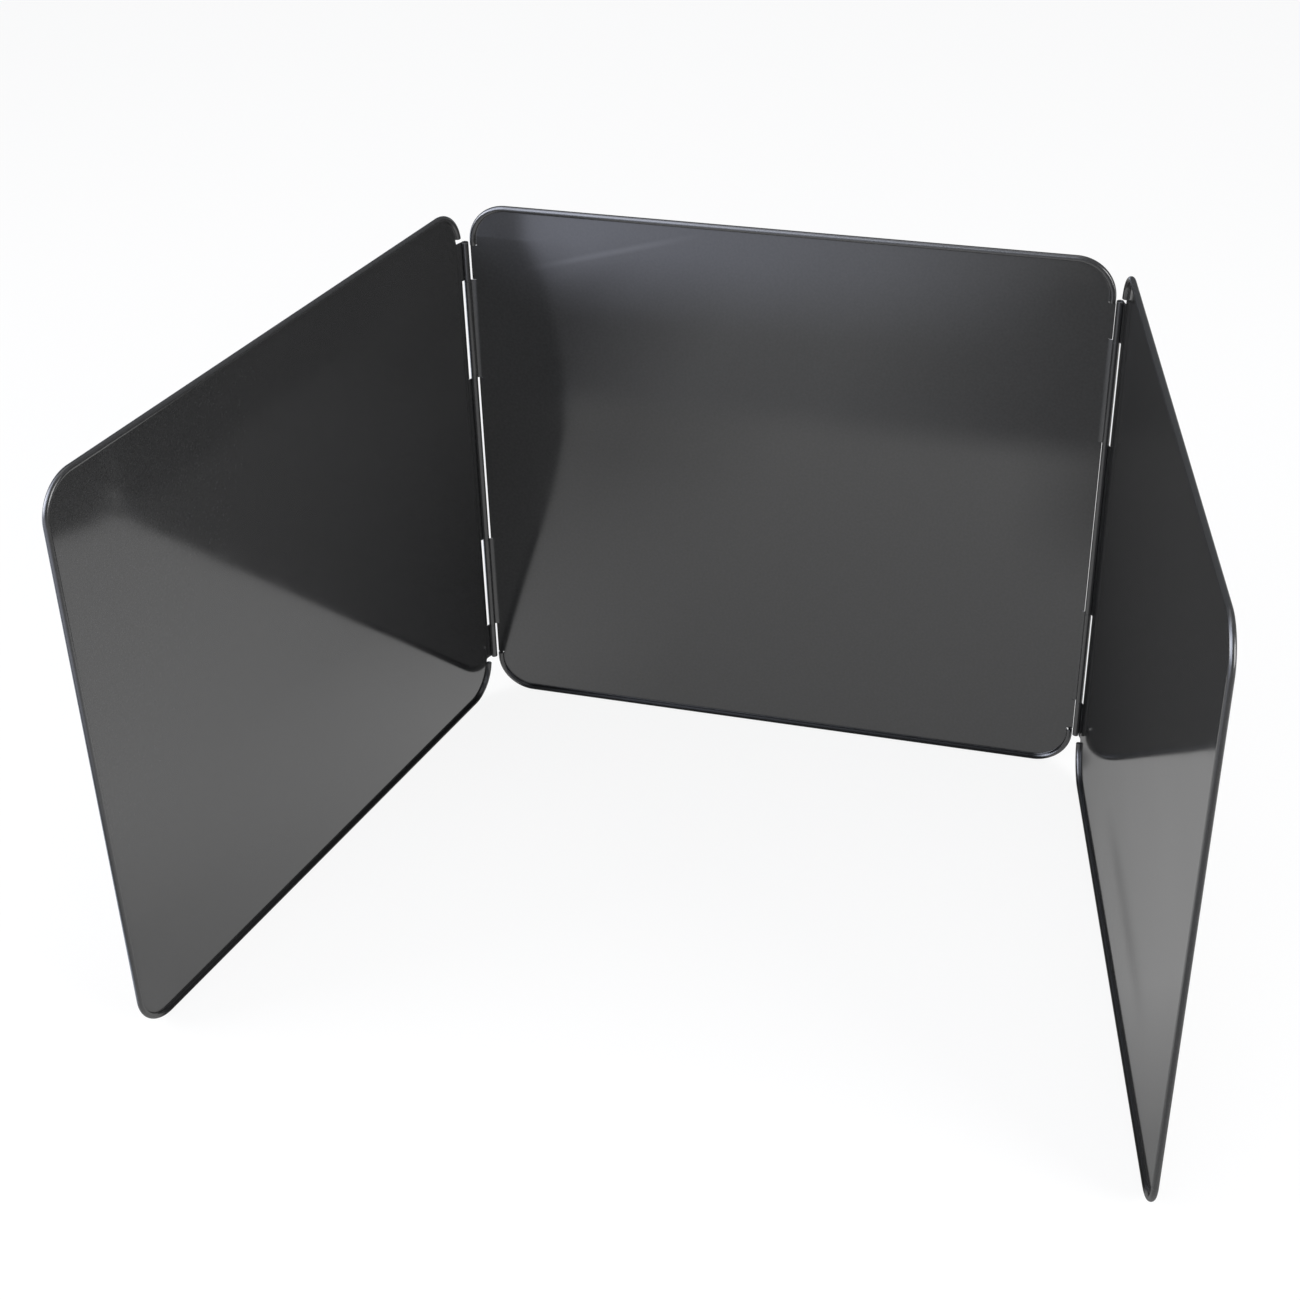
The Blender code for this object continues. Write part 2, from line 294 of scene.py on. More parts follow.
# %% The panel tree
PANEL_INPUTS = [
    ("Sheet", "Geometry", None),
    ("Low corner", "Vector", (0.0, -1.0, 0.0)),
    ("High corner", "Vector", (0.0, 1.0, 0.0)),
    ("Flat margin", "Float", 0.0),
    ("Root radius", "Float", 0.0),
    ("Root turn", "Float", 0.0),
    ("Rim radius", "Float", 0.0),
    ("Rim turn", "Float", 0.0),
    ("Neck radius", "Float", 0.0),
    ("Neck turn", "Float", 0.0),
    ("Knuckle radius", "Float", 0.0),
    ("Knuckle turn", "Float", 0.0),
    ("Finish", "Material", None),
]
ROOT_STEPS, ROLL_STEPS, NECK_STEPS = 5, 32, 4


def panel_tree():
    """The six passes that turn a flat blank into a panel."""
    tree, given, result = new_tree("press_the_panel", PANEL_INPUTS)
    sheet = given.outputs["Sheet"]

    def negative(socket):
        return number(tree, "MULTIPLY", socket, -1.0)

    def arc_length(radius, turn):
        return number(tree, "MULTIPLY", given.outputs[radius], given.outputs[turn])

    root, rim = given.outputs["Root turn"], given.outputs["Rim turn"]
    neck, knuckle = given.outputs["Neck turn"], given.outputs["Knuckle turn"]
    passes = [
        ("rim_line", 0.0, 0.0, given.outputs["Flat margin"], 1),
        ("rim_line", 0.0, root, arc_length("Root radius", "Root turn"), ROOT_STEPS),
        ("rim_line", root, negative(rim), arc_length("Rim radius", "Rim turn"), ROLL_STEPS),
        ("tab_line", 0.0, neck, arc_length("Neck radius", "Neck turn"), NECK_STEPS),
        ("tab_line", neck, negative(neck), arc_length("Neck radius", "Neck turn"), NECK_STEPS),
        ("tab_line", 0.0, knuckle, arc_length("Knuckle radius", "Knuckle turn"), ROLL_STEPS),
    ]
    for line, heading, turn, length, steps in passes:
        fold = tree.nodes.new("GeometryNodeGroup")
        fold.node_tree = FOLD
        fold.inputs["Fold line"].default_value = line
        fold.inputs["Steps"].default_value = steps
        tree.links.new(sheet, fold.inputs["Sheet"])
        tree.links.new(given.outputs["Low corner"], fold.inputs["Low corner"])
        tree.links.new(given.outputs["High corner"], fold.inputs["High corner"])
        for label, value in (("Heading", heading), ("Turn", turn), ("Length", length)):
            fill(tree, fold.inputs[label], value)
        sheet = fold.outputs["Sheet"]
    real = tree.nodes.new("GeometryNodeRealizeInstances")
    coat = tree.nodes.new("GeometryNodeSetMaterial")
    tree.links.new(sheet, real.inputs["Geometry"])
    tree.links.new(real.outputs["Geometry"], coat.inputs["Geometry"])
    tree.links.new(given.outputs["Finish"], coat.inputs["Material"])
    tree.links.new(coat.outputs["Geometry"], result.inputs["Sheet"])
    return tree


PANEL_TREE = panel_tree()
print("panel tree:", len(PANEL_TREE.nodes), "nodes")

# %% [markdown]
# ## The dark coat
#
# The panels carry a smooth, almost black non-stick coat. A coat like this is not metal to the light: a
# clear skin reflects a few per cent straight on and a lot at a glancing angle, over a dark pigment. One
# Principled shader does that with its own Fresnel. What makes it look real is how uneven it is: a fine
# orange peel, a slow waviness of the thin sheet, and patches where the gloss is a little duller.
#
# Shader trees are built here with the same small helpers as the geometry trees, plus a few of their own.
# All patterns hang on Object coordinates in metres, so a mark stays where it is when a panel turns.

# %% Material helpers


def grey(tone):
    """A colour without a hue."""
    return tone, tone, tone


def new_finish(name):
    """An empty procedural material with its shader and Object coordinates."""
    material = bpy.data.materials.new(name)
    material.use_nodes = True
    tree = material.node_tree
    shader = tree.nodes["Principled BSDF"]
    places = tree.nodes.new("ShaderNodeTexCoord").outputs["Object"]
    return material, tree, shader, places


def axes(tree, places):
    """The X, Y and Z of a place, as three numbers."""
    split = tree.nodes.new("ShaderNodeSeparateXYZ")
    tree.links.new(places, split.inputs[0])
    return split.outputs["X"], split.outputs["Y"], split.outputs["Z"]


def noise(tree, places, scale, detail=2.0, roughness=0.5, stretch=(1.0, 1.0, 1.0)):
    """Soft random values, with so many blobs to the metre and a stretch along each axis."""
    mapping = tree.nodes.new("ShaderNodeMapping")
    mapping.inputs["Scale"].default_value = stretch
    tree.links.new(places, mapping.inputs["Vector"])
    node = tree.nodes.new("ShaderNodeTexNoise")
    node.inputs["Scale"].default_value = scale
    node.inputs["Detail"].default_value = detail
    node.inputs["Roughness"].default_value = roughness
    tree.links.new(mapping.outputs["Vector"], node.inputs["Vector"])
    return node.outputs["Fac"]


def spread(tree, value, low, high, start=0.3, end=0.7, soft=False):
    """Maps the values from start to end to a range, and holds its ends beyond them."""
    node = tree.nodes.new("ShaderNodeMapRange")
    node.interpolation_type = "SMOOTHSTEP" if soft else "LINEAR"
    tree.links.new(value, node.inputs["Value"])
    limits = {"From Min": start, "From Max": end, "To Min": low, "To Max": high}
    for label, limit in limits.items():
        node.inputs[label].default_value = limit
    return node.outputs["Result"]


def rising(tree, value, start, end):
    """0 up to the start, 1 from the end on."""
    return spread(tree, value, 0.0, 1.0, start, end)


def falling(tree, value, start, end):
    """1 up to the start, 0 from the end on."""
    return spread(tree, value, 1.0, 0.0, start, end)


def both(tree, first, second):
    """The product of two amounts: where both hold."""
    return number(tree, "MULTIPLY", first, second)


def mixed(tree, amount, first, second):
    """A mix of two colours by an amount, each a socket or plain numbers."""
    node = tree.nodes.new("ShaderNodeMix")
    node.data_type = "RGBA"
    tree.links.new(amount, node.inputs["Factor"])
    for label, colour in (("A", first), ("B", second)):
        fill(tree, node.inputs[label], (*colour, 1.0) if isinstance(colour, tuple) else colour)
    return node.outputs["Result"]


def relief(tree, shader, layers):
    """Stacks bump layers, each a height field with a strength and a depth in metres."""
    normal = None
    for height, strength, depth in layers:
        bump = tree.nodes.new("ShaderNodeBump")
        bump.inputs["Strength"].default_value = strength
        bump.inputs["Distance"].default_value = depth
        tree.links.new(height, bump.inputs["Height"])
        if normal is not None:
            tree.links.new(normal, bump.inputs["Normal"])
        normal = bump.outputs["Normal"]
    tree.links.new(normal, shader.inputs["Normal"])


# %% [markdown]
# A real coat isn't an ideal mirror. Seen along its surface, its fine grain scatters what a clear skin
# would mirror, so the gloss is taken away at glancing angles. A Layer Weight node knows the angle.
#
# The beads on the ground stand in their own shadow and look nearly black. Painted shade gives them less
# gloss and a deeper tone, up to a few millimetres of height.

# %% Gloss by angle, and the painted shade at the foot
GLOSS_FACING, GLOSS_GLANCING = 0.68, 0.003
GLOSS_FALLS = 0.4, 0.89
FOOT_EDGE = 0.0022, 0.0034
FOOT_SHADE_TONE = 0.4
FOOT_SHADE_GLOSS = 0.12


def gloss_by_angle(tree):
    """The share of the gloss that is left at the angle from which a place is seen."""
    angle = tree.nodes.new("ShaderNodeLayerWeight")
    angle.inputs["Blend"].default_value = 0.5
    return spread(tree, angle.outputs["Facing"], GLOSS_FACING, GLOSS_GLANCING, *GLOSS_FALLS, soft=True)


def above_foot(tree, places):
    """0 on the bead that the guard stands on, where the shade is painted, 1 above it."""
    height = axes(tree, places)[2]
    return rising(tree, height, *FOOT_EDGE)


print("gloss straight on and at a glance:", GLOSS_FACING, GLOSS_GLANCING)

# %% [markdown]
# ## The marks of the centre panel
#
# In the upper left of the centre panel a thin bright line runs down to the left. It is a painted
# reflection, put into the coat's colour. A painted texture would hold it too, but such a line is only the
# places near a line, so the shader measures how far each place is from it. The line is on the open side
# only, and the sheet's two sides are told apart by their depth.
#
# The same end of the sheet is bowed by about a millimetre, which would hardly be seen but for the mirror
# image that bends with it. Moving the mesh would upset the folds, so the bow is a height field for the
# bump: nothing right of BOW_START, then the square of the distance, turning over near the top.

# %% Painted reflection line and bow
PAINTED_REFLECTION_LINE = (-0.114, -0.0002, 0.2215), (-0.034, -0.0002, 0.2446), 0.0022
PAINTED_REFLECTION_TONE = (0.062, 0.062, 0.066)
MARK_FULL_FROM, MARK_FULL_TO = 0.3, 0.6
BOW_CURVATURE = 0.9
BOW_START = -0.085
BOW_TURNS_OVER = 0.17, 0.235
BOW_ABOVE_FOOT = 0.02, 0.12
BOW_BELOW = -0.8


def along_line(tree, places, start, end, width):
    """1 on a straight line between two places, fading to 0 at its sides and its ends."""
    way = Vector(end) - Vector(start)
    from_start = vector(tree, "SUBTRACT", places, start)
    gone = measured(tree, "DOT_PRODUCT", from_start, tuple(way.normalized()))
    off_line = measured(tree, "DISTANCE", from_start, scaled(tree, tuple(way.normalized()), gone))
    near = spread(tree, off_line, 1.0, 0.0, 0.0, width, soft=True)
    begins = rising(tree, gone, 0.0, MARK_FULL_FROM * way.length)
    ends = falling(tree, gone, MARK_FULL_TO * way.length, way.length)
    return both(tree, near, both(tree, begins, ends))


def on_front(tree, places):
    """1 on the centre panel's open side, 0 on its back."""
    depth = axes(tree, places)[1]
    return falling(tree, depth, -SHEET / 4, SHEET / 4)


def bow(tree, places):
    """The slow bow of the centre panel's left end, as a height field in metres."""
    across, _, height = axes(tree, places)
    past_start = number(tree, "MAXIMUM", number(tree, "SUBTRACT", BOW_START, across), 0.0)
    curved = number(tree, "MULTIPLY", both(tree, past_start, past_start), BOW_CURVATURE / 2)
    way_up = spread(tree, height, BOW_BELOW, 1.0, *BOW_TURNS_OVER)
    return both(tree, curved, both(tree, way_up, rising(tree, height, *BOW_ABOVE_FOOT)))


print("painted reflection line length, mm:", round(1000 * (Vector(PAINTED_REFLECTION_LINE[1]) - Vector(PAINTED_REFLECTION_LINE[0])).length, 1))

# %% [markdown]
# ## The coat material
#
# Both coats are the same but for the centre panel's painted reflection line and bow. The pigment varies
# between two nearly equal tones, the roughness in patches as wide as a finger, and the rolled bends are
# duller, which the note left by the fold group tells the shader. The peel is a few thousandths of a
# millimetre deep. It only breaks up the sharpest mirror edges, as on the real sheet. On both coats the
# bead that the guard stands on carries painted shade.

# %% The coat material
COAT_DARK, COAT_PALE = grey(0.0254), grey(0.0324)
COAT_IOR = 1.5
PIGMENT_GRAIN = 900.0
PATCHES = 38.0
PATCH_ROUGHNESS = 0.07, 0.105
BEND_ROUGHNESS = 0.14
PEEL_GRAIN, PEEL_STRENGTH, PEEL_DEPTH = 1400.0, 0.25, 0.000004
WAVES, WAVE_DEPTH = 9.0, 0.0003


def coat_roughness(tree, places):
    """Patches on the flats, and more on what was rolled."""
    patches = noise(tree, places, PATCHES, detail=4.0, roughness=0.6)
    bent = tree.nodes.new("ShaderNodeAttribute")
    bent.attribute_name = ROLLED
    dull = number(tree, "MULTIPLY", bent.outputs["Fac"], BEND_ROUGHNESS)
    return number(tree, "ADD", spread(tree, patches, *PATCH_ROUGHNESS), dull)


def coat_material(name, middle=False):
    """Smooth charcoal coat on sheet steel with painted shade at the foot; in the middle also with the
    centre panel's painted reflection line and bow.
    """
    material, tree, shader, places = new_finish(name)
    out_of_shade = above_foot(tree, places)
    pigment = spread(tree, noise(tree, places, PIGMENT_GRAIN, detail=3.0), 0.0, 1.0)
    colour = mixed(tree, pigment, COAT_DARK, COAT_PALE)
    # Painted shade: the bead that the guard stands on gets a deeper tone.
    colour = vector(tree, "MULTIPLY", colour, mixed(tree, out_of_shade, grey(FOOT_SHADE_TONE), grey(1.0)))
    layers = [
        (noise(tree, places, WAVES, detail=1.0), 1.0, WAVE_DEPTH),
        (noise(tree, places, PEEL_GRAIN), PEEL_STRENGTH, PEEL_DEPTH),
    ]
    if middle:
        # Painted reflection: a thin bright line in the coat's colour near the centre panel's top edge.
        painted_reflection = both(tree, along_line(tree, places, *PAINTED_REFLECTION_LINE), on_front(tree, places))
        colour = mixed(tree, painted_reflection, colour, PAINTED_REFLECTION_TONE)
        layers.insert(0, (bow(tree, places), 1.0, 1.0))
    # Painted shade: the bead that the guard stands on gets less gloss.
    shade_gloss = spread(tree, out_of_shade, FOOT_SHADE_GLOSS, 1.0, 0.0, 1.0)
    tree.links.new(colour, shader.inputs["Base Color"])
    tree.links.new(coat_roughness(tree, places), shader.inputs["Roughness"])
    tree.links.new(both(tree, gloss_by_angle(tree), shade_gloss), shader.inputs["Specular IOR Level"])
    shader.inputs["IOR"].default_value = COAT_IOR
    relief(tree, shader, layers)
    return material


COAT = coat_material("charcoal_coat")
MIDDLE_COAT = coat_material("charcoal_coat_centre", middle=True)
print("coat nodes:", len(COAT.node_tree.nodes))
print("coat nodes on the centre panel:", len(MIDDLE_COAT.node_tree.nodes))

# %% [markdown]
# ## The flat blanks
#
# Before the first fold a panel is a flat blank: a rounded rectangle whose hinge edges are stepped into
# tabs. Only its outline matters, so it is one face with many corners, written as a walk round the edge.
# Each run of the walk that will be folded is marked with an attribute on its edges, which the folds read.

# %% The walk round a blank
CORNER_STEPS = 30


def arc(centre, radius, start, end, steps):
    """Points along an arc, both ends included, with angles in radians."""
    turn = (end - start) / steps
    angles = [start + turn * step for step in range(steps + 1)]
    return [(centre[0] + radius * math.cos(a), centre[1] + radius * math.sin(a)) for a in angles]


def and_below(points):
    """The points and then their mirror images in the panel's middle height, in walking order."""
    return points + [(x, PANEL_HEIGHT - z) for x, z in reversed(points)]


def side_rim_walk():
    """Where a side panel's flat meets its rim, from above the hinge row round to below it."""
    near, far = RIM_EDGE + CORNER_RADIUS, SIDE_REACH - CORNER_RADIUS
    end_above_centre = ROW_TOP + RIM_ABOVE_ROW - HIGH_CENTRE
    rise = math.asin(end_above_centre / (CORNER_RADIUS - RIM_DIAMETER / 2 - RIM_ROLL))
    upper = arc((near, HIGH_CENTRE), FLAT_CORNER, math.pi - rise, math.pi / 2, CORNER_STEPS)
    return and_below(upper + arc((far, HIGH_CENTRE), FLAT_CORNER, math.pi / 2, 0.0, CORNER_STEPS))


def side_hinge_walk():
    """A side panel's hinge edge, as (from axis, height), with the first, third and fifth tab."""
    return and_below([
        (RIM_EDGE + RIM_DIAMETER, ROW_TOP - HALF_GAP),
        (NECK_LENGTH, ROW_TOP - HALF_GAP),
        (NECK_LENGTH, FIRST_JOINT + HALF_GAP),
        (NECK_LENGTH, FIRST_JOINT - HALF_GAP),
        (SHEET_EDGE, FIRST_JOINT - HALF_GAP),
        (SHEET_EDGE, SECOND_JOINT + HALF_GAP),
        (NECK_LENGTH, SECOND_JOINT + HALF_GAP),
        (NECK_LENGTH, SECOND_JOINT - HALF_GAP),
    ])


def centre_rim_walk():
    """Where the centre panel's flat meets its upper rim, from the left hinge to the right one."""
    edge = HALF_SPACING - RIM_EDGE - FLAT_INSET
    middle = edge - FLAT_CORNER
    left = arc((-middle, HIGH_CENTRE), FLAT_CORNER, math.pi, math.pi / 2, CORNER_STEPS)
    right = arc((middle, HIGH_CENTRE), FLAT_CORNER, math.pi / 2, 0.0, CORNER_STEPS)
    end = ROW_TOP - RIM_BESIDE_ROW
    return [(-edge, end)] + left + right + [(edge, end)]


def centre_hinge_walk():
    """The centre panel's hinge edge, as (from axis, height), with the second and fourth tab."""
    start = ROW_TOP - RIM_BESIDE_ROW - RIM_END_CUT
    return and_below([
        (RIM_EDGE + RIM_DIAMETER, start),
        (SHEET_EDGE, start),
        (SHEET_EDGE, FIRST_JOINT + HALF_GAP),
        (NECK_LENGTH, FIRST_JOINT + HALF_GAP),
        (NECK_LENGTH, FIRST_JOINT - HALF_GAP),
        (NECK_LENGTH, SECOND_JOINT + HALF_GAP),
        (NECK_LENGTH, SECOND_JOINT - HALF_GAP),
        (SHEET_EDGE, SECOND_JOINT - HALF_GAP),
    ])


# %% From a walk to a blank


def is_tab(first, second, axis):
    """True for a step of the hinge walk that lies where the necks begin, and isn't a knuckle gap."""
    on_neck = all(abs(abs(x - axis) - NECK_LENGTH) < HALF_GAP / 2 for x, _ in (first, second))
    return on_neck and abs(first[1] - second[1]) > 2 * KNUCKLE_GAP


def blank(name, runs):
    """A flat face from runs of ("rim" or the hinge axis' x, points), with its fold lines marked."""
    points, rim_pairs, tab_pairs = [], set(), set()
    for kind, walk in runs:
        first = len(points)
        points += walk
        for step, pair in enumerate(zip(walk, walk[1:])):
            ends = frozenset((first + step, first + step + 1))
            if kind == "rim":
                rim_pairs.add(ends)
            elif is_tab(*pair, kind):
                tab_pairs.add(ends)
    mesh = bpy.data.meshes.new(name)
    mesh.from_pydata([(x, 0.0, z) for x, z in points], [], [range(len(points))])
    for line, pairs in (("rim_line", rim_pairs), ("tab_line", tab_pairs)):
        marks = mesh.attributes.new(line, "BOOLEAN", "EDGE")
        marks.data.foreach_set("value", [frozenset(edge.vertices) in pairs for edge in mesh.edges])
    print(name, "blank:", len(points), "corners,", len(rim_pairs), "rim edges,", len(tab_pairs), "tabs")
    obj = bpy.data.objects.new(name, mesh)
    bpy.context.scene.collection.objects.link(obj)
    return obj


def centre_blank():
    """The centre panel's blank, with a hinge row on each side."""
    half = centre_hinge_walk()
    upper = centre_rim_walk()
    lower = [(x, PANEL_HEIGHT - z) for x, z in reversed(upper)]
    right = [(HALF_SPACING - x, z) for x, z in half]
    left = [(x - HALF_SPACING, z) for x, z in reversed(half)]
    return blank(
        "centre_panel_sheet",
        [("rim", upper), (HALF_SPACING, right), ("rim", lower), (-HALF_SPACING, left)],
    )


def side_blank(name):
    """A side panel's blank, lying along +X with its hinge axis at x = 0."""
    return blank(name, [("rim", side_rim_walk()), (0.0, side_hinge_walk()[::-1])])


# %% [markdown]
# ## Folding the blanks
#
# The tree goes on the blank as a modifier, and its inputs are set by their identifiers. The result is
# taken out as a plain mesh, so nothing of the tree has to travel with the finished piece.

# %% Press a blank
FOLD_SIZES = {
    "Flat margin": FLAT_MARGIN,
    "Root radius": ROOT_RADIUS,
    "Root turn": ROOT_TURN,
    "Rim radius": RIM_ROLL,
    "Rim turn": RIM_TURN,
    "Neck radius": NECK_RADIUS,
    "Neck turn": NECK_TURN,
    "Knuckle radius": KNUCKLE_ROLL,
    "Knuckle turn": KNUCKLE_TURN,
}


def plain_mesh(obj):
    """Replaces an object's mesh by what its modifiers make of it, and removes them."""
    evaluated = obj.evaluated_get(bpy.context.evaluated_depsgraph_get())
    obj.data = bpy.data.meshes.new_from_object(evaluated)
    obj.modifiers.clear()
    return obj


def press(obj, left, right, finish):
    """Folds a blank whose rim runs from left to right."""
    modifier = obj.modifiers.new("press_brake", "NODES")
    modifier.node_group = PANEL_TREE
    values = dict(FOLD_SIZES)
    values["Low corner"] = (left + CORNER_RADIUS, -1.0, CORNER_RADIUS)
    values["High corner"] = (right - CORNER_RADIUS, 1.0, HIGH_CENTRE)
    values["Finish"] = finish
    for item in PANEL_TREE.interface.items_tree:
        if item.in_out == "INPUT" and item.name in values:
            modifier[item.identifier] = values[item.name]
    return plain_mesh(obj)


# %% [markdown]
# The folded sheet has no thickness yet. It is carried to its hinge first, and its faces are made to agree
# on one side, because a mirrored sheet comes out inside out. Solidify then adds half the thickness to each
# side, so the middle of the wall stays where it was folded. A small bevel takes the sharpness off the cut
# edges, where the coat is thick and rounds them. Weighted normals keep the wide flats truly flat.

# %% Give the sheet its thickness
CUT_EDGE_ROUND = 0.00006
SHARP_FROM = math.radians(50)


def carry(obj, offset, mirror, turn, place):
    """Moves a folded sheet to its hinge, inside its mesh."""
    shape = bmesh.new()
    shape.from_mesh(obj.data)
    matrix = Matrix.Translation(place) @ Matrix.Rotation(turn, 4, "Z")
    if mirror:
        matrix = matrix @ Matrix.Diagonal((-1.0, 1.0, 1.0, 1.0))
    matrix = matrix @ Matrix.Translation(offset)
    bmesh.ops.transform(shape, matrix=matrix, verts=shape.verts)
    bmesh.ops.recalc_face_normals(shape, faces=shape.faces)
    shape.to_mesh(obj.data)
    shape.free()
    return obj


def add_modifier(obj, name, kind, **settings):
    """A modifier with its settings."""
    modifier = obj.modifiers.new(name, kind)
    for label, value in settings.items():
        setattr(modifier, label, value)
    return modifier


def in_millimetres(corners):
    """Corners of a box, ready to print."""
    return [[round(1000 * part, 3) for part in corner] for corner in corners]


def mesh_box(obj):
    """The lowest and highest corner of an object's mesh."""
    low = [min(vertex.co[axis] for vertex in obj.data.vertices) for axis in range(3)]
    high = [max(vertex.co[axis] for vertex in obj.data.vertices) for axis in range(3)]
    return low, high


def thicken(obj, cutters=()):
    """Thickness, rounded cut edges, any dents, and even shading."""
    add_modifier(
        obj, "wall", "SOLIDIFY", thickness=SHEET, offset=0.0,
        solidify_mode="NON_MANIFOLD", nonmanifold_thickness_mode="CONSTRAINTS",
    )
    add_modifier(
        obj, "cut_edges", "BEVEL", width=CUT_EDGE_ROUND, segments=2,
        limit_method="ANGLE", angle_limit=SHARP_FROM,
    )
    for cutter in cutters:
        add_modifier(obj, "dent", "BOOLEAN", operation="DIFFERENCE", solver="EXACT", object=cutter)
    plain_mesh(obj)
    for cutter in cutters:
        bpy.data.objects.remove(cutter)
    obj.data.shade_smooth()
    add_modifier(obj, "even_shading", "WEIGHTED_NORMAL", weight=50, keep_sharp=False)
    plain_mesh(obj)
    triangles = sum(len(face.vertices) - 2 for face in obj.data.polygons)
    print(obj.name, triangles, "triangles, box in mm:", in_millimetres(mesh_box(obj)))
    return obj


# %% [markdown]
# ## The dents that hold the wires
#
# Each wire is kept from sliding out by one punched dent in the centre panel's lower knuckle. The punch is
# a round-nosed tool, so a finely divided ball is taken away from the knuckle's wall.

# %% Punches
DENT_HEIGHT = 0.066
DENT_TURN = math.radians(40)
DENT_RADIUS = 0.0007
DENT_DEPTH = 0.00022
PUNCH_DIVISIONS = 4


def punch(side):
    """A ball beside a hinge axis, on the side that faces the middle of the guard."""
    from_axis = KNUCKLE_OUTSIDE + DENT_RADIUS - DENT_DEPTH
    x = side * (HALF_SPACING - from_axis * math.sin(DENT_TURN))
    y = -AXIS_OFFSET - from_axis * math.cos(DENT_TURN)
    shape = bmesh.new()
    bmesh.ops.create_icosphere(
        shape, subdivisions=PUNCH_DIVISIONS, radius=DENT_RADIUS,
        matrix=Matrix.Translation((x, y, DENT_HEIGHT)),
    )
    mesh = bpy.data.meshes.new("punch")
    shape.to_mesh(mesh)
    shape.free()
    obj = bpy.data.objects.new("punch", mesh)
    bpy.context.scene.collection.objects.link(obj)
    return obj


# %% [markdown]
# ## The three panels
#
# The three panels are of one height and have the same rim, so here they share one tree. The side panels
# are pressed from the same blank, lying along +X with the hinge axis at x = 0. One is mirrored, and each is
# then turned to its angle and set on its hinge axis. All of that happens inside the mesh, so every
# finished object lies at the origin, unturned and unscaled.
#
# Each sheet replaces the frame's plain panel and rides on its body, so it swings with its joint.

# %% Make the three panels
centre = press(centre_blank(), RIM_EDGE - HALF_SPACING, HALF_SPACING - RIM_EDGE, MIDDLE_COAT)
carry(centre, (0.0, 0.0, 0.0), False, 0.0, (0.0, 0.0, 0.0))
thicken(centre, [punch(-1), punch(1)])


def side_panel(name, mirror, turn, axis_x):
    """A side panel, pressed, turned to its angle and set on its hinge axis."""
    obj = press(side_blank(name), RIM_EDGE, SIDE_REACH, COAT)
    carry(obj, (0.0, AXIS_OFFSET, 0.0), mirror, turn, (axis_x, -AXIS_OFFSET, 0.0))
    return thicken(obj)


left = side_panel("left_panel_sheet", True, math.pi / 2 - LEFT_SPLAY, -HALF_SPACING)
right = side_panel("right_panel_sheet", False, RIGHT_SPLAY - math.pi / 2, HALF_SPACING)

# %% Put the panels in the frame
for piece, body in ((centre, "centre"), (left, "left"), (right, "right")):
    node = body + "_panel"
    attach(piece, body)
    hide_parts(node)

# %% [markdown]
# ## The hinge wires
#
# The wires are bare drawn steel. They show only at the gaps between the knuckles and at the row's ends, so
# the frame's own wires stay and get a metal finish with fine draw lines along them.

# %% The wire material
STEEL_DARK, STEEL_BRIGHT = (0.36, 0.36, 0.35), (0.46, 0.46, 0.45)
DRAW_LINES = 6000.0
DRAW_STRETCH = (1.0, 1.0, 0.02)
WIRE_ROUGHNESS = 0.38, 0.24
DRAW_STRENGTH, DRAW_DEPTH = 0.3, 0.00001


def wire_material(name):
    """Bare drawn wire, with lines that run along it."""
    material, tree, shader, places = new_finish(name)
    lines = noise(tree, places, DRAW_LINES, stretch=DRAW_STRETCH)
    colour = mixed(tree, spread(tree, lines, 0.0, 1.0), STEEL_DARK, STEEL_BRIGHT)
    tree.links.new(colour, shader.inputs["Base Color"])
    tree.links.new(spread(tree, lines, *WIRE_ROUGHNESS), shader.inputs["Roughness"])
    shader.inputs["Metallic"].default_value = 1.0
    relief(tree, shader, [(lines, DRAW_STRENGTH, DRAW_DEPTH)])
    return material


WIRE = wire_material("drawn_steel")
for node in ("left_hinge_pin", "right_hinge_pin"):
    for material_slot in frame["nodes"][node].material_slots:
        material_slot.material = WIRE
    print(node, "material:", frame["nodes"][node].material_slots[0].material.name)

# %% [markdown]
# ## What the floor shows in the coat
#
# Dark gloss shows little of its own colour and much of what is round it, so most of what is seen on these
# panels is the table, the room and a window. Modelling a room would work, but each piece of it would also
# light the guard and show behind it. A floor that answers glossy rays with a picture of its own does the
# same without either. The picture is a few soft areas in metres on the ground.
#
# The table reaches a little beyond the guard's mouth. Its tones are painted light and shade. Its middle
# is brightest towards the camera. Along the left panel's foot it is bright at the hinge and darker at
# the mouth. It has painted shade in the right front corner and in the touch of shadow behind the right
# hinge, and it is very bright left of the guard, where the window's painted light falls on it. One thin
# darker line runs along the right panel's foot.

# %% The table in the mirror
TABLE_BACK, TABLE_FRONT, TABLE_DEPTH = grey(0.96), grey(1.16), (-0.27, 0.0)
LEFT_BACK, LEFT_FRONT, LEFT_DEPTH = grey(1.28), grey(0.80), (-0.24, -0.04)
LEFT_SIDE = -0.15, -0.06
CORNER_SHADE_TONE, CORNER_DEPTH, CORNER_SIDE = grey(0.60), (-0.235, -0.15), (0.08, 0.14)
OUTSIDE_TONE, OUTSIDE_SIDE = (1.70, 1.90, 2.30), (-0.235, -0.20)
TOUCH_TONE, TOUCH_PLACE, TOUCH_EDGE = grey(0.35), (0.146, 0.006, 0.0), (0.008, 0.014)
LINE_TONE = grey(0.75)
LINE = (0.136, -0.03, 0.0), (0.171, -0.185, 0.0), 0.003


